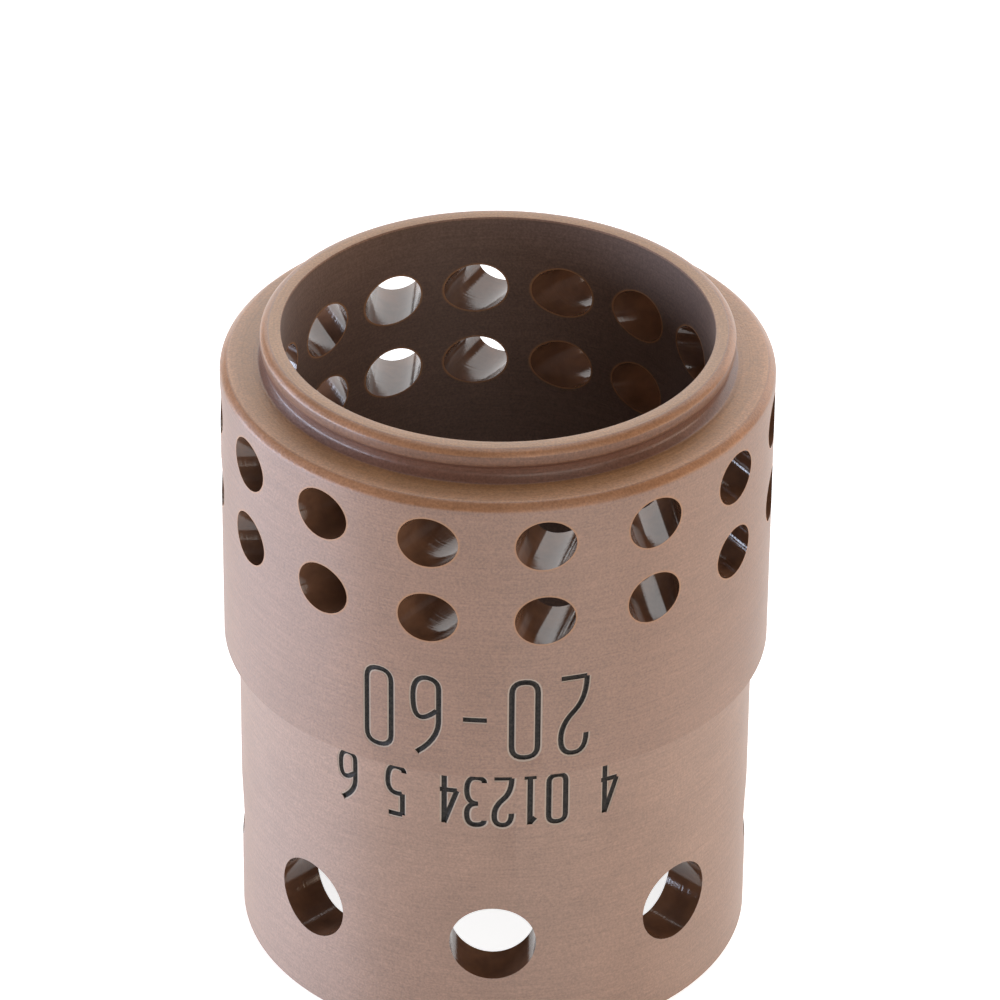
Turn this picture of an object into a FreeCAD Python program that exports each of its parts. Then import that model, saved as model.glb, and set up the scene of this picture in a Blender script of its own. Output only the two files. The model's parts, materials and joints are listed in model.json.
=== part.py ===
import FreeCAD, Part
import math
import os

# Gas swirl ring of a plasma cutting torch, turned in one piece from polyimide rod.
# Millimetres. Origin at the centre of the lower end face, +Z up the bore towards the lip.
# The marked side of the collar faces -Y.

# Bore and walls
bore_diameter = 19.8
body_wall = 2.1
collar_step = 0.7
lip_wall = 0.95

# Heights along the axis
overall_length = 32.0
lip_height = 1.6
collar_height = 14.55

# Outer edge of the lip, eased by a shallow taper and then a steep one, above a short straight wall
lip_shallow_width = 0.2
lip_shallow_drop = 0.07
lip_steep_width = 0.17
lip_steep_drop = 0.2
lip_land = 0.45

# Undercut neck between the lip and the shoulder, cut in and flared out at 45 degrees
neck_depth = 0.2
neck_flare = 0.3

# Chamfers at 45 degrees
collar_chamfer = 0.33
end_chamfer = 0.4

# Slanted gas holes through the collar
swirl_hole_diameter = 2.5
swirl_holes_per_row = 15
swirl_rows = 2
swirl_row_drop = 2.2
swirl_row_spacing = 3.95
swirl_offset = 5.4
swirl_start_angle = -80.0

# Straight gas ports through the body
port_diameter = 4.0
port_count = 8
port_height = 6.0
port_start_angle = 0.0

# How far each drill starts before its wall and runs past it
drill_overrun = 1.0

# Radii and levels that follow from the sizes above
bore_radius = bore_diameter / 2
lip_radius = bore_radius + lip_wall
neck_radius = lip_radius - neck_depth
body_radius = bore_radius + body_wall
collar_radius = body_radius + collar_step
shoulder_z = overall_length - lip_height
collar_foot_z = shoulder_z - collar_height

X_AXIS = FreeCAD.Vector(1, 0, 0)
Z_AXIS = FreeCAD.Vector(0, 0, 1)
CENTRE = FreeCAD.Vector(0, 0, 0)


def lip_outline():
    """Radius and height down the outside of the lip, from its top face to the shoulder."""
    face_radius = lip_radius - lip_steep_width - lip_shallow_width
    shallow_z = overall_length - lip_shallow_drop
    steep_z = shallow_z - lip_steep_drop
    land_z = steep_z - lip_land
    return [
        (face_radius, overall_length),
        (lip_radius - lip_steep_width, shallow_z),
        (lip_radius, steep_z),
        (lip_radius, land_z),
        (neck_radius, land_z - neck_depth),
        (neck_radius, shoulder_z + neck_flare),
        (neck_radius + neck_flare, shoulder_z),
    ]


def collar_outline():
    """Radius and height from the shoulder's outer edge down the collar to the body."""
    return [
        (collar_radius - collar_chamfer, shoulder_z),
        (collar_radius, shoulder_z - collar_chamfer),
        (collar_radius, collar_foot_z),
        (body_radius, collar_foot_z),
    ]


def end_outline():
    """Radius and height round the lower end, from the body's side into the bore."""
    return [
        (body_radius, end_chamfer),
        (body_radius - end_chamfer, 0),
        (bore_radius + end_chamfer, 0),
        (bore_radius, end_chamfer),
        (bore_radius, overall_length),
    ]


def wall_section():
    """The half section of the turned wall, as a face in the XZ plane."""
    outline = lip_outline() + collar_outline() + end_outline()
    points = [FreeCAD.Vector(radius, 0, z) for radius, z in outline]
    return Part.Face(Part.makePolygon(points + points[:1]))


def turned_about_axis(shape, angle):
    """The shape turned about the ring's axis by an angle in degrees."""
    shape.rotate(CENTRE, Z_AXIS, angle)
    return shape


def swirl_drills():
    """One drill for each slanted hole. Each lies level and passes the ring's axis at swirl_offset."""
    lean = math.degrees(math.asin(swirl_offset / collar_radius))
    length = math.sqrt(collar_radius**2 - swirl_offset**2) + drill_overrun
    drills = []
    for row in range(swirl_rows):
        start = FreeCAD.Vector(0, swirl_offset, shoulder_z - swirl_row_drop - row * swirl_row_spacing)
        for number in range(swirl_holes_per_row):
            drill = Part.makeCylinder(swirl_hole_diameter / 2, length, start, X_AXIS)
            angle = swirl_start_angle - lean + number * 360 / swirl_holes_per_row
            drills.append(turned_about_axis(drill, angle))
    return drills


def port_drills():
    """One radial drill for each straight port near the lower end."""
    start = FreeCAD.Vector(bore_radius - drill_overrun, 0, port_height)
    length = body_wall + 2 * drill_overrun
    drills = []
    for number in range(port_count):
        drill = Part.makeCylinder(port_diameter / 2, length, start, X_AXIS)
        drills.append(turned_about_axis(drill, port_start_angle + number * 360 / port_count))
    return drills


def swirl_ring():
    """The turned blank with every hole drilled."""
    blank = wall_section().revolve(CENTRE, Z_AXIS, 360)
    return blank.cut(swirl_drills() + port_drills()).Solids[0]


def main():
    ring = swirl_ring()
    os.makedirs("parts", exist_ok=True)
    ring.exportStep("parts/swirl_ring.step")
    print("swirl_ring valid:", ring.isValid(), " volume in mm3:", round(ring.Volume, 2))


main()
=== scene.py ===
import json
import logging
import math
from dataclasses import dataclass
from enum import Enum
from typing import Any

import bmesh
import bpy
from mathutils import Matrix, Vector

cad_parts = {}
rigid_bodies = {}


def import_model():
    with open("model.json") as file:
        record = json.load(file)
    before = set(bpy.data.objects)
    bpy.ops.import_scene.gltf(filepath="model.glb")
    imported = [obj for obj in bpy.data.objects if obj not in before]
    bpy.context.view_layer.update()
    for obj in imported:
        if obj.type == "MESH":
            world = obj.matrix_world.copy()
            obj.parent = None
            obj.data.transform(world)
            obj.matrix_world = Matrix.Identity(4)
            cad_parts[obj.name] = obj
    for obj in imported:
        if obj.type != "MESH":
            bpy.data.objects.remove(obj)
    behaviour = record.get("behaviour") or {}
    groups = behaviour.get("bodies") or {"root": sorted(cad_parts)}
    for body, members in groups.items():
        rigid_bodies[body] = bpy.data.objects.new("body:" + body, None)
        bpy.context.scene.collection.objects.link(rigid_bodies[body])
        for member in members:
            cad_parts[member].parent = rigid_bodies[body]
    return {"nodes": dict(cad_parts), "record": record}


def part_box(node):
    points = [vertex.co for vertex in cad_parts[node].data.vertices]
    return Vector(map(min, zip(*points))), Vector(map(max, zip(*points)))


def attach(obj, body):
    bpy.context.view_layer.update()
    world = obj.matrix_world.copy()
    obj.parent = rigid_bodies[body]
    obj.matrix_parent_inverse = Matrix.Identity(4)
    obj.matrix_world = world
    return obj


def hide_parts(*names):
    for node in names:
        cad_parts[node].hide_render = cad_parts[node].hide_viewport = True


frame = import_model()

LOG = logging.getLogger("swirl_ring")
MM = 0.001
# Two places closer than this, in millimetres, count as one
NEAR = 0.001
CAD_NODE = "swirl_ring"
BODY = "root"

Point = tuple[float, float]
Colour = tuple[float, float, float, float]

# A noise texture's values lie mostly between these two
NOISE_RANGE = {"From Min": 0.3, "From Max": 0.7}


def linear(srgb: str) -> Colour:
    """Turns an sRGB hex colour into Blender's linear colour, with the sRGB standard's numbers.

    Args:
        srgb: six hex digits after a hash sign.

    Returns:
        Linear red, green, blue and an alpha of one.
    """
    parts = [int(srgb[place : place + 2], 16) / 255 for place in (1, 3, 5)]
    low = [part / 12.92 if part <= 0.04045 else ((part + 0.055) / 1.055) ** 2.4 for part in parts]
    return (low[0], low[1], low[2], 1.0)


def add_node(
    tree: bpy.types.NodeTree,
    kind: str,
    inputs: dict[Any, Any] | None = None,
    **settings: Any,
) -> Any:
    """Adds one node with its settings, values and links.

    Args:
        tree: the node tree that the node goes into.
        kind: the node's type name.
        inputs: for each input's name or number, a value, or the socket or node that feeds it.
        settings: properties of the node itself.

    Returns:
        The new node.
    """
    node = tree.nodes.new(kind)
    for name, value in settings.items():
        setattr(node, name, value)
    for name, value in (inputs or {}).items():
        if isinstance(value, bpy.types.Node):
            value = value.outputs[0]
        if isinstance(value, bpy.types.NodeSocket):
            tree.links.new(value, node.inputs[name])
        else:
            node.inputs[name].default_value = value
    return node


def clear_tree(owner: Any) -> bpy.types.NodeTree:
    """Empties the node tree of a material or world.

    Args:
        owner: the material or world.

    Returns:
        Its node tree, with no node left.
    """
    owner.use_nodes = True
    owner.node_tree.nodes.clear()
    return owner.node_tree


def place_and_radius(tree: bpy.types.NodeTree) -> tuple[Any, Any]:
    """Adds the nodes that give a point's place on the object, in millimetres.

    Args:
        tree: the material's node tree.

    Returns:
        The node that gives the place, and the socket that gives its distance from the axis.
    """
    place = add_node(tree, "ShaderNodeTexCoord")
    mm = add_node(
        tree, "ShaderNodeVectorMath", {0: place.outputs["Object"], "Scale": 1 / MM}, operation="SCALE"
    )
    flat = add_node(tree, "ShaderNodeVectorMath", {0: mm, 1: (1, 1, 0)}, operation="MULTIPLY")
    radius = add_node(tree, "ShaderNodeVectorMath", {0: flat}, operation="LENGTH")
    return mm, radius.outputs["Value"]


def only_select(*objects: bpy.types.Object) -> None:
    """Selects these objects and nothing else.

    Args:
        objects: what is selected. The first of them is made active.
    """
    for other in bpy.context.view_layer.objects:
        other.select_set(False)
    for one in objects:
        one.select_set(True)
    bpy.context.view_layer.objects.active = objects[0]


class Finish(Enum):
    """The surfaces of the ring, in the order of its material slots."""

    TURNED = 0
    DRILLED = 1
    BURNISHED = 2
    ENGRAVED = 3


@dataclass(frozen=True)
class HolePattern:
    """Where the slanted gas holes are, in millimetres and degrees.

    The pattern repeats round the ring, and every hole lies level and passes the axis at offset.
    """

    diameter: float = 2.5
    count: int = 15
    offset: float = 5.4
    start_angle: float = -80.0
    upper_z: float = 28.2
    lower_z: float = 24.25

    @property
    def pitch(self) -> float:
        """Angle from one hole to the next, in radians."""
        return 2 * math.pi / self.count

    def lean(self, radius: float) -> float:
        """Angle between the radius and a hole's axis.

        Args:
            radius: radius of the cylinder on which they meet, in millimetres.

        Returns:
            The angle in radians.
        """
        return math.asin(self.offset / radius)


@dataclass(frozen=True)
class TurnedPolyimide:
    """Polyimide rod, turned and left as cut: satin brown, with fine tool lines round the axis.

    The feed lines spread reflections across them, and the cut corners are clearer. Light and shade are partly
    painted
    into the colour: painted shade darkens the bore, the neck, the lip's outer wall, the shoulder next to the
    lip and the cut corners, which are also painted more orange where they reflect less. A painted reflection
    lightens the body under the collar, and a painted highlight rings each hole.
    Sizes are in millimetres. A level is the range over which a pattern darkens and lightens the
    colour, and a blend is where a mask starts and ends.
    """

    holes: HolePattern
    bore_radius: float
    lip_radius: float
    collar_radius: float
    foot_z: float
    shoulder_z: float
    top_z: float
    base: str = "#92715F"
    # shoulder: darker next to the lip's foot than shoulder_edge further out, which is painted shade
    shoulder: str = "#9A6F4A"
    shoulder_edge: str = "#AE8160"
    # bore: darker than the walls, which is painted shade inside the bore
    bore: str = "#6E574C"
    # edge: darker and more orange on the cut corners, which is painted shade where they reflect less of the
    # bright room
    edge: str = "#9A6C4C"
    # Painted highlight round each hole's broken edge
    rim_highlight: str = "#B07C52"
    # Painted shade on the lip's outer wall, next to the shoulder
    lip_side_shade: str = "#7E5B48"
    # body: lighter than the collar, which is a painted reflection of the floor
    body: str = "#997967"
    # neck: dark, which is painted shade in the undercut under the lip
    neck: str = "#704C3C"
    face: str = "#A47B59"
    feed: float = 0.09
    line_drift: float = 0.35
    grain: float = 0.11
    cloud_scale: float = 0.35
    lines_level: Point = (0.9, 1.1)
    grain_level: Point = (0.8, 1.2)
    cloud_level: Point = (0.95, 1.05)
    rim_highlight_blend: Point = (0.03, 0.1)
    rim_highlight_strength: float = 0.7
    bore_blend: Point = (0.03, 0.01)
    top_blend: Point = (0.42, 0.3)
    bump: float = 0.8
    bump_height: float = 0.016
    roughness: float = 0.5
    roughness_spread: float = 0.05
    bore_dullness: float = 0.2
    top_roughness: float = 0.36
    gloss: float = 0.7
    top_gloss: float = 0.4
    bore_gloss: float = 0.3
    anisotropy: float = 0.8
    top_anisotropy: float = 0.5
    ior: float = 1.6

    def build(self) -> bpy.types.Material:
        """Makes the material.

        Returns:
            The material, which reads Object coordinates only.
        """
        material = bpy.data.materials.new("turned_polyimide")
        tree = clear_tree(material)
        mm, radius = place_and_radius(tree)
        x, y, z = add_node(tree, "ShaderNodeSeparateXYZ", {0: mm}).outputs

        lines = self.tool_lines(tree, x, y, z, radius)
        # Grain of the pressed powder. The real one is finer than a pixel, so it is drawn coarser.
        grain = add_node(
            tree,
            "ShaderNodeTexNoise",
            {"Vector": mm, "Scale": 1 / self.grain, "Detail": 1.5, "Roughness": 0.6},
        )
        # Patches a few millimetres wide, where the skin is a little darker or paler
        cloud = add_node(
            tree, "ShaderNodeTexNoise", {"Vector": mm, "Scale": self.cloud_scale, "Detail": 3.0}
        )

        colour = self.zones(tree, z, radius)
        for source, (low, high) in (
            (lines, self.lines_level),
            (grain, self.grain_level),
            (cloud, self.cloud_level),
        ):
            level = add_node(
                tree,
                "ShaderNodeMapRange",
                {"Value": source, **NOISE_RANGE, "To Min": low, "To Max": high},
            )
            colour = add_node(
                tree, "ShaderNodeVectorMath", {0: colour, "Scale": level}, operation="SCALE"
            )
        # Painted highlight ring round each hole
        rim_highlight = self.rim_highlight_mask(tree, x, y, z, radius)
        colour = add_node(
            tree,
            "ShaderNodeMix",
            {"Factor": rim_highlight, 6: colour, 7: linear(self.rim_highlight)},
            data_type="RGBA",
        ).outputs[2]

        height = add_node(tree, "ShaderNodeMath", {0: lines, 1: grain}, operation="ADD")
        bump = add_node(
            tree,
            "ShaderNodeBump",
            {"Strength": self.bump, "Distance": self.bump_height * MM, "Height": height},
        )
        # The bored wall was left dull
        in_bore = add_node(
            tree,
            "ShaderNodeMapRange",
            {
                "Value": radius,
                "From Min": self.bore_radius + self.bore_blend[0],
                "From Max": self.bore_radius + self.bore_blend[1],
            },
        )
        # The lip, neck and shoulder were cut finer than the walls
        on_top = add_node(
            tree,
            "ShaderNodeMapRange",
            {
                "Value": z,
                "From Min": self.shoulder_z - self.top_blend[0],
                "From Max": self.shoulder_z - self.top_blend[1],
            },
        )
        on_top = add_node(
            tree, "ShaderNodeMath", {0: on_top, 1: in_bore}, operation="SUBTRACT", use_clamp=True
        )
        gloss: Any = self.gloss
        for mask, level in ((in_bore, self.bore_gloss), (on_top, self.top_gloss)):
            gloss = add_node(tree, "ShaderNodeMix", {"Factor": mask, 2: gloss, 3: level}, data_type="FLOAT")
        rough = add_node(
            tree,
            "ShaderNodeMapRange",
            {
                "Value": grain,
                **NOISE_RANGE,
                "To Min": self.roughness - self.roughness_spread,
                "To Max": self.roughness + self.roughness_spread,
            },
        )
        for mask, change in (
            (in_bore, self.bore_dullness),
            (on_top, self.top_roughness - self.roughness),
        ):
            rough = add_node(
                tree, "ShaderNodeMath", {0: mask, 1: change, 2: rough}, operation="MULTIPLY_ADD"
            )
        spread = add_node(
            tree,
            "ShaderNodeMapRange",
            {"Value": on_top, "To Min": self.anisotropy, "To Max": self.top_anisotropy},
        )
        tangent = add_node(tree, "ShaderNodeTangent", direction_type="RADIAL", axis="Z")
        shader = add_node(
            tree,
            "ShaderNodeBsdfPrincipled",
            {
                "Base Color": colour,
                "Roughness": rough,
                "IOR": self.ior,
                "Specular IOR Level": gloss,
                "Anisotropic": spread,
                "Anisotropic Rotation": 0.25,
                "Tangent": tangent,
                "Normal": bump,
            },
        )
        add_node(tree, "ShaderNodeOutputMaterial", {"Surface": shader})
        return material

    def tool_lines(self, tree: Any, x: Any, y: Any, z: Any, radius: Any) -> Any:
        """Feed lines of the turning tool, round the axis on walls and flats alike.

        Args:
            tree: the material's node tree.
            x, y, z: sockets with the place in millimetres.
            radius: socket with the distance from the axis in millimetres.

        Returns:
            The node that gives the lines' height, from 0 to 1.
        """
        # A usual fine feed is about 0.075 mm. It is drawn at 0.09 mm, so that a line covers two
        # pixels. Along a line the pattern changes slowly, by line_drift.
        across = add_node(tree, "ShaderNodeMath", {0: radius, 1: z}, operation="ADD")
        across = add_node(tree, "ShaderNodeMath", {0: across, 1: 1 / self.feed}, operation="MULTIPLY")
        along_x = add_node(tree, "ShaderNodeMath", {0: x, 1: self.line_drift}, operation="MULTIPLY")
        along_y = add_node(tree, "ShaderNodeMath", {0: y, 1: self.line_drift}, operation="MULTIPLY")
        vector = add_node(tree, "ShaderNodeCombineXYZ", {0: across, 1: along_x, 2: along_y})
        return add_node(
            tree, "ShaderNodeTexNoise", {"Vector": vector, "Scale": 1.0, "Detail": 2.0, "Roughness": 0.7}
        )

    def zones(self, tree: Any, z: Any, radius: Any) -> Any:
        """Colour of each turned surface: walls, neck, lip face, shoulder and cut corners, several of them
        with painted shade or a painted reflection.

        Args:
            tree: the material's node tree.
            z: socket with the height in millimetres.
            radius: socket with the distance from the axis in millimetres.

        Returns:
            The socket that gives the colour.
        """
        bore, lip, collar = self.bore_radius, self.lip_radius, self.collar_radius
        top, deck = self.top_z, self.shoulder_z
        deck_low, deck_high = deck - 0.02, deck + 0.02
        lip_foot, lip_edge = top - 0.72, top - 0.27
        lower_end = 0.3
        outside = 99.0
        # Each run: colour, lowest z, highest z, least radius, greatest radius, blend across and up
        runs = (
            # Painted shade: the bore is darker than the walls
            (self.bore, lower_end, top - 0.1, 0.0, bore + 0.02, 0.01, 0.01),
            # Painted shade: the shoulder is darker next to the lip
            (self.shoulder, deck_low, deck_high, lip, outside, 0.1, 0.01),
            (self.shoulder_edge, deck_low, deck_high, 12.0, outside, 0.7, 0.01),
            # Painted shade in the undercut neck
            (self.neck, deck_high, lip_foot, 10.3, lip + 0.3, 0.06, 0.05),
            # Painted shade on the lip's outer wall
            (self.lip_side_shade, lip_foot, lip_edge, lip - 0.1, outside, 0.02, 0.05),
            # Painted reflection: the body under the collar is lighter
            (self.body, lower_end, self.foot_z, bore + 0.1, collar - 0.3, 0.05, 0.01),
            # Painted shade: the collar's cut corner is darker and more orange
            (self.edge, deck - 0.36, deck, collar - 0.36, outside, 0.12, 0.1),
            # Painted shade: the lip's rounded corner is darker and more orange
            (self.edge, lip_edge, top - 0.004, lip - 0.36, outside, 0.05, 0.04),
            (self.face, top - 0.003, top + 1, bore, lip - 0.3, 0.06, 0.002),
        )
        colour: Any = linear(self.base)
        for tint, low_z, high_z, low_r, high_r, across, up in runs:
            mask: Any = 1.0
            for value, edge, sign in (
                (z, low_z, 1),
                (z, high_z, -1),
                (radius, low_r, 1),
                (radius, high_r, -1),
            ):
                soft = across if value is radius else up
                step = add_node(
                    tree,
                    "ShaderNodeMapRange",
                    {
                        "Value": value,
                        "From Min": edge - sign * soft / 2,
                        "From Max": edge + sign * soft / 2,
                    },
                )
                mask = add_node(tree, "ShaderNodeMath", {0: mask, 1: step}, operation="MULTIPLY")
            colour = add_node(
                tree, "ShaderNodeMix", {"Factor": mask, 6: colour, 7: linear(tint)}, data_type="RGBA"
            ).outputs[2]
        return colour

    def rim_highlight_mask(self, tree: Any, x: Any, y: Any, z: Any, radius: Any) -> Any:
        """Painted highlight: a thin clear ring round each slanted hole, where the drill broke the edge and it
        catches the light.

        Args:
            tree: the material's node tree.
            x, y, z: sockets with the place in millimetres.
            radius: socket with the distance from the axis in millimetres.

        Returns:
            The node that is 1 at a hole's edge and falls to 0 away from it.
        """
        holes = self.holes
        first = math.radians(holes.start_angle) - holes.lean(self.collar_radius)
        ratio = add_node(tree, "ShaderNodeMath", {0: holes.offset, 1: radius}, operation="DIVIDE")
        lean = add_node(tree, "ShaderNodeMath", {0: ratio}, operation="ARCSINE")
        azimuth = add_node(tree, "ShaderNodeMath", {0: y, 1: x}, operation="ARCTAN2")
        turned = add_node(tree, "ShaderNodeMath", {0: azimuth, 1: first}, operation="SUBTRACT")
        turned = add_node(tree, "ShaderNodeMath", {0: turned, 1: lean}, operation="SUBTRACT")
        folded = add_node(
            tree, "ShaderNodeMath", {0: turned, 1: holes.pitch / 2, 2: -holes.pitch / 2}, operation="WRAP"
        )
        angle = add_node(tree, "ShaderNodeMath", {0: folded, 1: lean}, operation="ADD")
        sine = add_node(tree, "ShaderNodeMath", {0: angle}, operation="SINE")
        side = add_node(tree, "ShaderNodeMath", {0: sine, 1: radius}, operation="MULTIPLY")
        side = add_node(tree, "ShaderNodeMath", {0: side, 1: holes.offset}, operation="SUBTRACT")
        middle = (holes.upper_z + holes.lower_z) / 2
        level = add_node(tree, "ShaderNodeMath", {0: z, 1: middle}, operation="SUBTRACT")
        level = add_node(tree, "ShaderNodeMath", {0: level}, operation="ABSOLUTE")
        level = add_node(
            tree, "ShaderNodeMath", {0: level, 1: (holes.upper_z - holes.lower_z) / 2}, operation="SUBTRACT"
        )
        both = add_node(tree, "ShaderNodeCombineXYZ", {0: side, 1: level})
        distance = add_node(tree, "ShaderNodeVectorMath", {0: both}, operation="LENGTH").outputs["Value"]
        return add_node(
            tree,
            "ShaderNodeMapRange",
            {
                "Value": distance,
                "From Min": holes.diameter / 2 + self.rim_highlight_blend[0],
                "From Max": holes.diameter / 2 + self.rim_highlight_blend[1],
                "To Min": self.rim_highlight_strength,
                "To Max": 0.0,
            },
        )


@dataclass(frozen=True)
class DrilledPolyimide:
    """Polyimide wall left by a drill: smoother and glossier than the turned skin, with faint rings.

    Sizes are in millimetres.
    """

    colour: str = "#76533E"
    deep: str = "#664837"
    ring: float = 0.12
    patch_scale: float = 1.2
    patch_blend: Point = (0.35, 0.65)
    bump: float = 0.4
    bump_height: float = 0.01
    roughness: float = 0.1
    ior: float = 1.6

    def build(self) -> bpy.types.Material:
        """Makes the material.

        Returns:
            The material, which reads Object coordinates only.
        """
        material = bpy.data.materials.new("drilled_polyimide")
        tree = clear_tree(material)
        mm, radius = place_and_radius(tree)
        # Drill marks lie across the hole, so they follow the distance from the ring's axis
        across = add_node(tree, "ShaderNodeMath", {0: radius, 1: 1 / self.ring}, operation="MULTIPLY")
        rings = add_node(
            tree,
            "ShaderNodeTexNoise",
            {"W": across, "Scale": 1.0, "Detail": 2.0, "Roughness": 0.7},
            noise_dimensions="1D",
        )
        patches = add_node(
            tree, "ShaderNodeTexNoise", {"Vector": mm, "Scale": self.patch_scale, "Detail": 3.0}
        )
        share = add_node(
            tree,
            "ShaderNodeMapRange",
            {"Value": patches, "From Min": self.patch_blend[0], "From Max": self.patch_blend[1]},
        )
        colour = add_node(
            tree,
            "ShaderNodeMix",
            {"Factor": share, 6: linear(self.colour), 7: linear(self.deep)},
            data_type="RGBA",
        ).outputs[2]
        bump = add_node(
            tree,
            "ShaderNodeBump",
            {"Strength": self.bump, "Distance": self.bump_height * MM, "Height": rings},
        )
        shader = add_node(
            tree,
            "ShaderNodeBsdfPrincipled",
            {"Base Color": colour, "Roughness": self.roughness, "IOR": self.ior, "Normal": bump},
        )
        add_node(tree, "ShaderNodeOutputMaterial", {"Surface": shader})
        return material


@dataclass(frozen=True)
class BurnishedEdge:
    """Polyimide melted smooth and pale along both sides of an engraved stroke."""

    colour: str = "#AE9C8D"
    roughness: float = 0.4

    def build(self) -> bpy.types.Material:
        """Makes the material.

        Returns:
            The material.
        """
        material = bpy.data.materials.new("burnished_polyimide")
        tree = clear_tree(material)
        shader = add_node(
            tree, "ShaderNodeBsdfPrincipled", {"Base Color": linear(self.colour), "Roughness": self.roughness}
        )
        add_node(tree, "ShaderNodeOutputMaterial", {"Surface": shader})
        return material


@dataclass(frozen=True)
class EngravedLine:
    """Engraved stroke, burnt nearly black, matt and uneven at its bottom. Soot is in millimetres."""

    colour: str = "#25211E"
    roughness: float = 0.75
    soot: float = 0.14
    soot_level: Point = (0.3, 2.2)

    def build(self) -> bpy.types.Material:
        """Makes the material.

        Returns:
            The material.
        """
        material = bpy.data.materials.new("engraved_line")
        tree = clear_tree(material)
        place = add_node(tree, "ShaderNodeTexCoord")
        soot = add_node(
            tree,
            "ShaderNodeTexNoise",
            {"Vector": place.outputs["Object"], "Scale": 1 / (self.soot * MM), "Detail": 2.0},
        )
        level = add_node(
            tree,
            "ShaderNodeMapRange",
            {
                "Value": soot,
                **NOISE_RANGE,
                "To Min": self.soot_level[0],
                "To Max": self.soot_level[1],
            },
        )
        colour = add_node(
            tree, "ShaderNodeVectorMath", {0: linear(self.colour)[:3], "Scale": level}, operation="SCALE"
        )
        shader = add_node(
            tree, "ShaderNodeBsdfPrincipled", {"Base Color": colour, "Roughness": self.roughness}
        )
        add_node(tree, "ShaderNodeOutputMaterial", {"Surface": shader})
        return material


# Strokes of the engraved figures, in a cell one wide and one high. A stroke that ends where it
# starts is a closed curve.
FIGURES: dict[str, tuple[tuple[Point, ...], ...]] = {
    "0": (((0, 0.3), (0, 0), (1, 0), (1, 0.3), (1, 0.7), (1, 1), (0, 1), (0, 0.7), (0, 0.3)),),
    "1": (((0.5, 0), (0.5, 1)), ((0.5, 0.97), (0.2, 0.86)), ((0.15, 0), (0.85, 0))),
    "2": (((0, 0.75), (0, 1), (1, 1), (1, 0.6), (0, 0.3), (0, 0)), ((0, 0), (1, 0))),
    "3": (
        ((0, 0.9), (0, 1), (1, 1), (1, 0.55), (0.35, 0.55)),
        ((0.35, 0.55), (1, 0.55), (1, 0), (0, 0), (0, 0.1)),
    ),
    "4": (((0.75, 0), (0.75, 1)), ((0.75, 1), (0, 0.3)), ((0, 0.3), (1, 0.3))),
    "5": (
        ((0, 0.1), (0, 0), (1, 0), (1, 0.62), (0.1, 0.55)),
        ((0.1, 0.55), (0.1, 1)),
        ((0.1, 1), (0.95, 1)),
    ),
    "6": (
        ((0.85, 1), (0, 0.8), (0, 0.3), (0, 0), (0.55, 0)),
        ((0.45, 0), (1, 0), (1, 0.5), (0.5, 0.55), (0.08, 0.42)),
    ),
    "-": (((0.05, 0.5), (0.95, 0.5)),),
    " ": (),
}
# The most strokes that any figure has
STROKES = 3
# Each pass of the engraving: the finish it leaves, its width and its depth in millimetres. Some
# nearby values left open edges in the mesh, so a change needs the mesh looked at again.
PASSES = ((Finish.BURNISHED, 0.42, 0.04), (Finish.ENGRAVED, 0.28, 0.15))


@dataclass(frozen=True)
class NumberRow:
    """One row of engraved figures, cut upside down into a cylinder, in millimetres and degrees."""

    figures: str
    radius: float
    top_z: float
    height: float
    width: float
    pitch: float
    azimuth: float
    profile_steps: int = 1
    path_steps: int = 5

    def point(self, place: int, spot: Point) -> Vector:
        """Finds the point on the cylinder for a spot in the cell of one figure.

        Args:
            place: the figure's place in the row, from 0.
            spot: the spot in its cell, which is one wide and one high.

        Returns:
            The point in metres.
        """
        along = (place - (len(self.figures) - 1) / 2) * self.pitch + (spot[0] - 0.5) * self.width
        angle = math.radians(self.azimuth) - along / self.radius
        z = self.top_z - spot[1] * self.height
        return Vector((self.radius * math.cos(angle), self.radius * math.sin(angle), z)) * MM

    def cutter(self, number: int, line: float, depth: float) -> bpy.types.Object:
        """Makes one stroke of every figure, as the path of a round-nosed cutter.

        Args:
            number: which stroke of each figure. The strokes of one call never cross.
            line: the width of the cut.
            depth: how deep it goes.

        Returns:
            A mesh of tubes whose middle lies on the cylinder, flattened to the depth.
        """
        curve = bpy.data.curves.new("number_row", "CURVE")
        curve.dimensions = "3D"
        curve.bevel_depth = line / 2 * MM
        curve.bevel_resolution = self.profile_steps
        curve.resolution_u = self.path_steps
        curve.use_fill_caps = True
        for place, figure in enumerate(self.figures):
            for stroke in FIGURES[figure][number : number + 1]:
                closed = stroke[0] == stroke[-1]
                spots = stroke[:-1] if closed else stroke
                spline = curve.splines.new("NURBS")
                spline.points.add(len(spots) - 1)
                for target, spot in zip(spline.points, spots):
                    target.co = (*self.point(place, spot), 1.0)
                spline.use_cyclic_u = closed
                spline.use_endpoint_u = not closed
                spline.order_u = 3 if len(spots) > 2 else 2
        path = bpy.data.objects.new("number_row", curve)
        bpy.context.scene.collection.objects.link(path)
        only_select(path)
        bpy.ops.object.convert(target="MESH")
        tubes = bpy.context.object
        for vert in tubes.data.vertices:
            out = vert.co.xy.length - self.radius * MM
            vert.co.xy *= (self.radius * MM + out * depth / (line / 2)) / vert.co.xy.length
        # A curve's end caps come loose, and a cutter has to be closed
        bpy.ops.object.mode_set(mode="EDIT")
        bpy.ops.mesh.select_all(action="SELECT")
        bpy.ops.mesh.remove_doubles(threshold=NEAR * MM)
        bpy.ops.mesh.normals_make_consistent(inside=False)
        bpy.ops.object.mode_set(mode="OBJECT")
        return tubes


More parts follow.
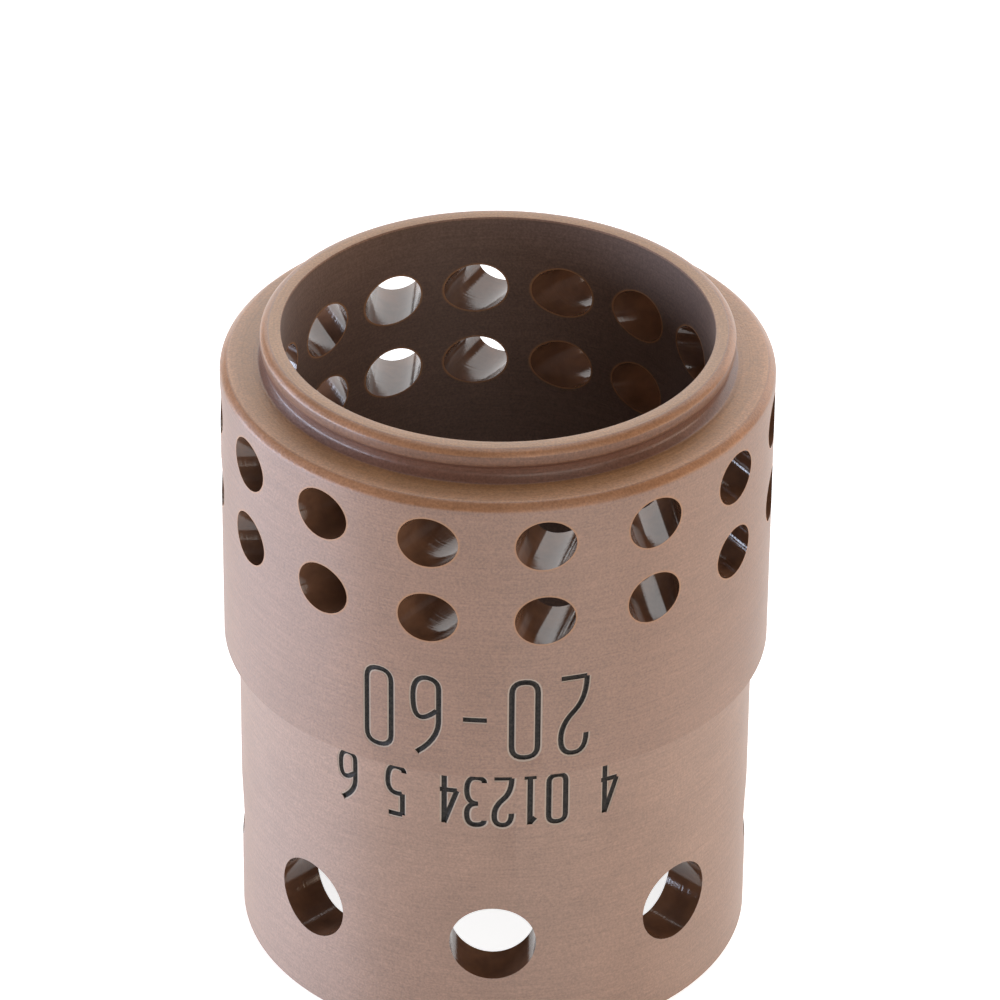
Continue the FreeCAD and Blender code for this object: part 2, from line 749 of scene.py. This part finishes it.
@dataclass
class SwirlRing:
    """The turned ring. Sizes are in millimetres, and the main ones come from the frame's mounts."""

    holes: HolePattern
    bore_radius: float
    body_radius: float
    collar_radius: float
    length: float
    collar_foot_z: float
    lip_wall: float = 0.95
    lip_height: float = 1.6
    lip_shallow: Point = (0.2, 0.07)
    lip_steep: Point = (0.17, 0.2)
    lip_land: float = 0.45
    neck_depth: float = 0.2
    neck_flare: float = 0.3
    collar_chamfer: float = 0.33
    end_chamfer: float = 0.4
    corner_break: float = 0.035
    collar_break: float = 0.13
    lip_break: float = 0.08
    break_segments: int = 3
    corner_angle: float = 5.0
    smooth_angle: float = 28.0
    ring_gap: float = 0.15
    drill_overrun: float = 1.0
    port_diameter: float = 4.0
    port_count: int = 8
    port_height: float = 6.0
    around: int = 360
    drill_sides: int = 56

    @classmethod
    def from_frame(cls) -> "SwirlRing":
        """Reads the ring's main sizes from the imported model.

        Returns:
            The ring with its radii, length and collar taken from the mounts and the CAD box.
        """
        mounts = {mount["name"]: mount for mount in frame["record"]["mounts"]}
        low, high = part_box(CAD_NODE)
        collar = mounts["collar"]
        foot = collar["pos_m"][2] / MM - collar["dims"]["length_mm"] / 2
        return cls(
            holes=HolePattern(),
            bore_radius=mounts["bore"]["dims"]["r_mm"],
            body_radius=mounts["body"]["dims"]["r_mm"],
            collar_radius=collar["dims"]["r_mm"],
            length=(high.z - low.z) / MM,
            collar_foot_z=foot,
        )

    @property
    def lip_radius(self) -> float:
        """Outside radius of the lip."""
        return self.bore_radius + self.lip_wall

    @property
    def shoulder_z(self) -> float:
        """Height of the shoulder."""
        return self.length - self.lip_height

    def outline(self) -> list[Point]:
        """Lists the corners of the wall's half section.

        Returns:
            Radius and height of each, from the lip's face round the outside into the bore.
        """
        top = self.length
        lip = self.lip_radius
        neck = lip - self.neck_depth
        shallow_z = top - self.lip_shallow[1]
        steep_z = shallow_z - self.lip_steep[1]
        land_z = steep_z - self.lip_land
        shoulder = self.shoulder_z
        collar = self.collar_radius
        end = self.end_chamfer
        # Extra rings just past the holes keep the long walls beyond them evenly shaded
        rows = [self.holes.upper_z + self.holes.diameter / 2 + self.ring_gap]
        rows += [(self.holes.upper_z + self.holes.lower_z) / 2]
        rows += [self.holes.lower_z - self.holes.diameter / 2 - self.ring_gap]
        half_port = self.port_diameter / 2 + self.ring_gap
        ports = [self.port_height + side * half_port for side in (1, -1)]
        return [
            (lip - self.lip_steep[0] - self.lip_shallow[0], top),
            (lip - self.lip_steep[0], shallow_z),
            (lip, steep_z),
            (lip, land_z),
            (neck, land_z - self.neck_depth),
            (neck, shoulder + self.neck_flare),
            (neck + self.neck_flare, shoulder),
            (collar - self.collar_chamfer, shoulder),
            (collar, shoulder - self.collar_chamfer),
            *((collar, z) for z in rows),
            (collar, self.collar_foot_z),
            (self.body_radius, self.collar_foot_z),
            *((self.body_radius, z) for z in ports),
            (self.body_radius, end),
            (self.body_radius - end, 0.0),
            (self.bore_radius + end, 0.0),
            (self.bore_radius, end),
            *((self.bore_radius, z) for z in reversed(rows + ports)),
            (self.bore_radius, top),
        ]

    def turn_blank(self) -> bpy.types.Object:
        """Turns the blank: one circle is drawn out along the outline and closed on itself.

        Returns:
            The ring without its holes.
        """
        corners = self.outline()
        radius, z = corners[0]
        only_select(frame["nodes"][CAD_NODE])
        bpy.ops.object.select_all(action="DESELECT")
        bpy.ops.mesh.primitive_circle_add(vertices=self.around, radius=radius * MM, location=(0, 0, 0))
        ring = bpy.context.object
        ring.name = "turned_swirl_ring"
        ring.data.name = "turned_swirl_ring"
        bpy.ops.object.mode_set(mode="EDIT")
        bpy.ops.mesh.select_all(action="SELECT")
        bpy.ops.transform.translate(value=(0, 0, z * MM))
        for next_radius, next_z in corners[1:] + corners[:1]:
            rise = (next_z - z) * MM
            bpy.ops.mesh.extrude_edges_move(TRANSFORM_OT_translate={"value": (0, 0, rise)})
            scale = next_radius / radius
            bpy.ops.transform.resize(value=(scale, scale, 1), center_override=(0, 0, next_z * MM))
            radius, z = next_radius, next_z
        bpy.ops.mesh.select_all(action="SELECT")
        bpy.ops.mesh.remove_doubles(threshold=NEAR * MM)
        bpy.ops.mesh.normals_make_consistent(inside=False)
        self.break_corners(ring)
        bpy.ops.object.mode_set(mode="OBJECT")
        return ring

    def break_corners(self, ring: bpy.types.Object) -> None:
        """Rounds every turned corner a little, and those of the lip, neck and shoulder more.

        Runs in edit mode.

        Args:
            ring: the turned ring, with no hole in it yet.
        """
        neck_foot = self.lip_radius - self.neck_depth + self.neck_flare
        chamfer_foot = self.shoulder_z - self.collar_chamfer - NEAR
        margin = 0.2
        widths = (self.corner_break, self.lip_break, self.collar_break)
        bpy.ops.mesh.select_mode(type="EDGE")
        for group, width in enumerate(widths):
            bpy.ops.mesh.select_all(action="DESELECT")
            mesh = bmesh.from_edit_mesh(ring.data)
            for edge in mesh.edges:
                radius, other_radius = (vert.co.xy.length / MM for vert in edge.verts)
                level, other_level = (vert.co.z / MM for vert in edge.verts)
                corner = edge.calc_face_angle(0.0) > math.radians(self.corner_angle)
                round_axis = abs(level - other_level) < NEAR and abs(radius - other_radius) < NEAR
                on_lip = level > self.shoulder_z - NEAR and radius < neck_foot + NEAR
                on_lip = on_lip and radius > self.bore_radius + margin
                on_collar = radius > neck_foot + margin and level > chamfer_foot
                own_group = 1 if on_lip else 2 if on_collar else 0
                edge.select_set(corner and round_axis and own_group == group)
            bmesh.update_edit_mesh(ring.data)
            bpy.ops.mesh.bevel(offset=width * MM, segments=self.break_segments, affect="EDGES")

    def drill(self, diameter: float, start: Vector, length: float) -> bpy.types.Object:
        """Models one level drill along +X.

        Args:
            diameter: the drill's diameter in millimetres.
            start: the middle of its inner end, in millimetres.
            length: its length in millimetres.

        Returns:
            A closed cylinder whose place is in its mesh.
        """
        bpy.ops.object.select_all(action="DESELECT")
        bpy.ops.mesh.primitive_cylinder_add(
            vertices=self.drill_sides,
            radius=diameter / 2 * MM,
            depth=length * MM,
            location=(start + Vector((length / 2, 0, 0))) * MM,
            rotation=(0, math.pi / 2, 0),
        )
        bpy.ops.object.transform_apply(location=True, rotation=True, scale=True)
        return bpy.context.object

    def drills_around(self, first: bpy.types.Object, angles: list[float]) -> list[bpy.types.Object]:
        """Copies one drill to each angle about the ring's axis and takes the first one away.

        Args:
            first: the drill that is copied.
            angles: where the copies go, in radians.

        Returns:
            The copies.
        """
        copies = []
        for angle in angles:
            copy = first.copy()
            copy.data = first.data.copy()
            copy.data.transform(Matrix.Rotation(angle, 4, "Z"))
            bpy.context.scene.collection.objects.link(copy)
            copies.append(copy)
        bpy.data.objects.remove(first)
        return copies

    def cut_holes(self, ring: bpy.types.Object) -> None:
        """Drills both rows of slanted holes and the straight ports.

        Args:
            ring: the turned ring, which is changed.
        """
        holes = self.holes
        start = self.bore_radius - self.drill_overrun
        inner = math.sqrt(start**2 - holes.offset**2)
        outer = math.sqrt(self.collar_radius**2 - holes.offset**2) + self.drill_overrun
        first_angle = math.radians(holes.start_angle) - holes.lean(self.collar_radius)
        angles = [first_angle + number * holes.pitch for number in range(holes.count)]
        drills = []
        for z in (holes.upper_z, holes.lower_z):
            slanted = self.drill(holes.diameter, Vector((inner, holes.offset, z)), outer - inner)
            drills += self.drills_around(slanted, angles)
        length = self.body_radius - self.bore_radius + 2 * self.drill_overrun
        port = self.drill(self.port_diameter, Vector((start, 0, self.port_height)), length)
        turns = [2 * math.pi * number / self.port_count for number in range(self.port_count)]
        drills += self.drills_around(port, turns)
        only_select(*drills)
        bpy.ops.object.join()
        cut(ring, bpy.context.object, Finish.DRILLED)

    def engrave(self, ring: bpy.types.Object) -> None:
        """Engraves plain figures on the collar and, smaller, on the body under it.

        Args:
            ring: the drilled ring, which is changed.
        """
        rows = (
            NumberRow(
                figures="20-60",
                radius=self.collar_radius,
                top_z=21.0,
                height=4.1,
                width=1.2,
                pitch=2.25,
                azimuth=-94.0,
            ),
            NumberRow(
                figures="4 01234 5 6",
                radius=self.body_radius,
                top_z=15.3,
                height=2.6,
                width=0.8,
                pitch=1.25,
                azimuth=-94.0,
            ),
        )
        # The laser melts a wide shallow band first and burns a narrow groove in its middle
        for finish, line, depth in PASSES:
            cutters = []
            for number in range(STROKES):
                only_select(*(row.cutter(number, line, depth) for row in rows))
                bpy.ops.object.join()
                cutters.append(bpy.context.object)
            for cutter in cutters[1:]:
                combine(cutters[0], cutter, "UNION")
            cut(ring, cutters[0], finish)

    def finishes(self) -> list[bpy.types.Material]:
        """Makes the ring's materials.

        Returns:
            The materials, in the order of Finish.
        """
        turned = TurnedPolyimide(
            holes=self.holes,
            bore_radius=self.bore_radius,
            lip_radius=self.lip_radius,
            collar_radius=self.collar_radius,
            foot_z=self.collar_foot_z,
            shoulder_z=self.shoulder_z,
            top_z=self.length,
        )
        return [finish.build() for finish in (turned, DrilledPolyimide(), BurnishedEdge(), EngravedLine())]

    def build(self) -> bpy.types.Object:
        """Makes the ring and its finishes.

        Returns:
            The finished ring, riding on the frame in place of the CAD solid.
        """
        ring = self.turn_blank()
        for material in self.finishes():
            ring.data.materials.append(material)
        self.cut_holes(ring)
        self.engrave(ring)
        only_select(ring)
        bpy.ops.object.shade_smooth_by_angle(angle=math.radians(self.smooth_angle))
        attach(ring, BODY)
        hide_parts(CAD_NODE)
        LOG.info("ring: %d faces", len(ring.data.polygons))
        return ring


def combine(piece: bpy.types.Object, other: bpy.types.Object, operation: str) -> None:
    """Applies one boolean operation to a mesh and removes the other mesh.

    Both meshes are scaled to millimetres for it, and the result is scaled back.

    Args:
        piece: the mesh that is changed.
        other: the mesh that is joined to it or taken from it.
        operation: "UNION" or "DIFFERENCE".
    """
    for mesh in (piece.data, other.data):
        mesh.transform(Matrix.Scale(1 / MM, 4))
    only_select(piece)
    modifier = piece.modifiers.new(operation.lower(), "BOOLEAN")
    modifier.operation = operation
    modifier.solver = "EXACT"
    # A wide stroke overlaps itself in a tight bend, and the ring can only be cut by a mesh that
    # doesn't. So strokes are joined with their own overlaps mended.
    modifier.use_self = operation == "UNION"
    modifier.object = other
    bpy.ops.object.modifier_apply(modifier=modifier.name)
    piece.data.transform(Matrix.Scale(MM, 4))
    bpy.data.objects.remove(other)


def cut(piece: bpy.types.Object, cutter: bpy.types.Object, finish: Finish) -> None:
    """Cuts one mesh out of another and gives the new walls their finish.

    Args:
        piece: the mesh that is cut. It already has a slot for every finish.
        cutter: the mesh that is taken away. It is removed afterwards.
        finish: the finish of the walls that the cutter leaves.
    """
    cutter.data.materials.clear()
    for material in piece.data.materials:
        cutter.data.materials.append(material)
    for face in cutter.data.polygons:
        face.material_index = finish.value
    combine(piece, cutter, "DIFFERENCE")


@dataclass(frozen=True)
class Lamp:
    """One soft panel that faces the ring. Angles are in degrees and sizes in metres."""

    name: str
    azimuth: float
    elevation: float
    distance: float
    width: float
    height: float
    radiance: float
    colour: str = "#FFFFFF"

    def build(self, aim: Vector) -> None:
        """Places the panel so that it looks at a point.

        Args:
            aim: the point, in metres.
        """
        turn, rise = math.radians(self.azimuth), math.radians(self.elevation)
        level = math.cos(rise)
        away = Vector((math.cos(turn) * level, math.sin(turn) * level, math.sin(rise)))
        light = bpy.data.lights.new(self.name, "AREA")
        light.shape = "RECTANGLE"
        light.size = self.width
        light.size_y = self.height
        light.energy = self.radiance * math.pi * self.width * self.height
        light.color = linear(self.colour)[:3]
        panel = bpy.data.objects.new(self.name, light)
        panel.location = aim + away * self.distance
        panel.rotation_euler = (-away).to_track_quat("-Z", "Y").to_euler()
        bpy.context.scene.collection.objects.link(panel)


@dataclass(frozen=True)
class Studio:
    """Pale floor, soft panels and the camera at the photograph's angle.

    The floor's size and the clip distances are in metres, the camera's place in millimetres.
    """

    floor_colour: str = "#EDEDED"
    floor_size: float = 6.0
    floor_glow: float = 0.3
    floor_lift: float = 0.45
    ambient: float = 0.06
    elevation: float = 32.564
    roll: float = 0.521
    lens: float = 223.9
    sensor: float = 36.0
    clip: Point = (0.01, 20.0)
    distance: float = 287.83
    target: tuple[float, float, float] = (0.153, 0.0, 22.615)
    # Name, azimuth, elevation, distance, width, height, radiance and colour
    lamps: tuple[Lamp, ...] = (
        Lamp("left_panel", 182, 5, 0.45, 0.56, 0.12, 13.5, "#DCE8FF"),
        Lamp("front_panel", -62, 24, 0.45, 0.36, 0.3, 2.1, "#FFF9F2"),
        Lamp("right_panel", -4, 9, 0.45, 0.3, 0.16, 3.8, "#FFE8D2"),
        Lamp("back_panel", 76, 26, 0.45, 0.85, 0.46, 2.1),
        Lamp("top_panel", 90, 76, 0.5, 0.3, 0.3, 2.5),
    )

    def build(self) -> None:
        """Builds the floor, world, lamps and camera."""
        self.build_floor()
        self.build_world()
        for lamp in self.lamps:
            lamp.build(Vector(self.target) * MM)
        self.build_camera()

    def build_floor(self) -> None:
        """Lays the floor. It is lifted to white for the camera and still takes the ring's shadow."""
        bpy.ops.object.select_all(action="DESELECT")
        bpy.ops.mesh.primitive_plane_add(size=self.floor_size, location=(0, 0, 0))
        floor = bpy.context.object
        floor.name = "floor"
        material = bpy.data.materials.new("pale_paper_floor")
        tree = clear_tree(material)
        paper = add_node(tree, "ShaderNodeBsdfDiffuse", {"Color": linear(self.floor_colour)})
        path = add_node(tree, "ShaderNodeLightPath")
        seen = add_node(
            tree,
            "ShaderNodeMath",
            {0: path.outputs["Is Camera Ray"], 1: path.outputs["Is Glossy Ray"]},
            operation="ADD",
        )
        seen = add_node(
            tree, "ShaderNodeMath", {0: seen, 1: path.outputs["Is Transmission Ray"]}, operation="ADD"
        )
        lift = add_node(
            tree,
            "ShaderNodeMapRange",
            {"Value": seen, "To Min": self.floor_glow, "To Max": self.floor_glow + self.floor_lift},
        )
        glow = add_node(tree, "ShaderNodeEmission", {"Strength": lift})
        surface = add_node(tree, "ShaderNodeAddShader", {0: paper, 1: glow})
        add_node(tree, "ShaderNodeOutputMaterial", {"Surface": surface})
        floor.data.materials.append(material)

    def build_world(self) -> None:
        """Fills the shadows with an even white sky, which the camera sees as white."""
        world = bpy.data.worlds.new("white_studio")
        bpy.context.scene.world = world
        tree = clear_tree(world)
        path = add_node(tree, "ShaderNodeLightPath")
        level = add_node(
            tree,
            "ShaderNodeMapRange",
            {"Value": path.outputs["Is Camera Ray"], "To Min": self.ambient, "To Max": 1.0},
        )
        sky = add_node(tree, "ShaderNodeBackground", {"Strength": level})
        add_node(tree, "ShaderNodeOutputWorld", {"Surface": sky})

    def build_camera(self) -> None:
        """Places the camera where the edges and holes in the photograph put it."""
        rise = math.radians(self.elevation)
        data = bpy.data.cameras.new("camera")
        data.lens = self.lens
        data.sensor_width = self.sensor
        data.clip_start, data.clip_end = self.clip
        camera = bpy.data.objects.new("camera", data)
        back = Vector((0, -math.cos(rise), math.sin(rise)))
        camera.location = (Vector(self.target) + back * self.distance) * MM
        tilt = Matrix.Rotation(math.pi / 2 - rise, 4, "X")
        camera.rotation_euler = (tilt @ Matrix.Rotation(math.radians(self.roll), 4, "Z")).to_euler()
        bpy.context.scene.collection.objects.link(camera)
        bpy.context.scene.camera = camera


def main() -> None:
    """Builds the ring, then the studio round it."""
    logging.basicConfig(level=logging.INFO, format="%(name)s %(message)s")
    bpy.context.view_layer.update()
    SwirlRing.from_frame().build()
    Studio().build()
    bpy.context.scene.view_settings.view_transform = "Standard"


if __name__ == "__main__":
    main()
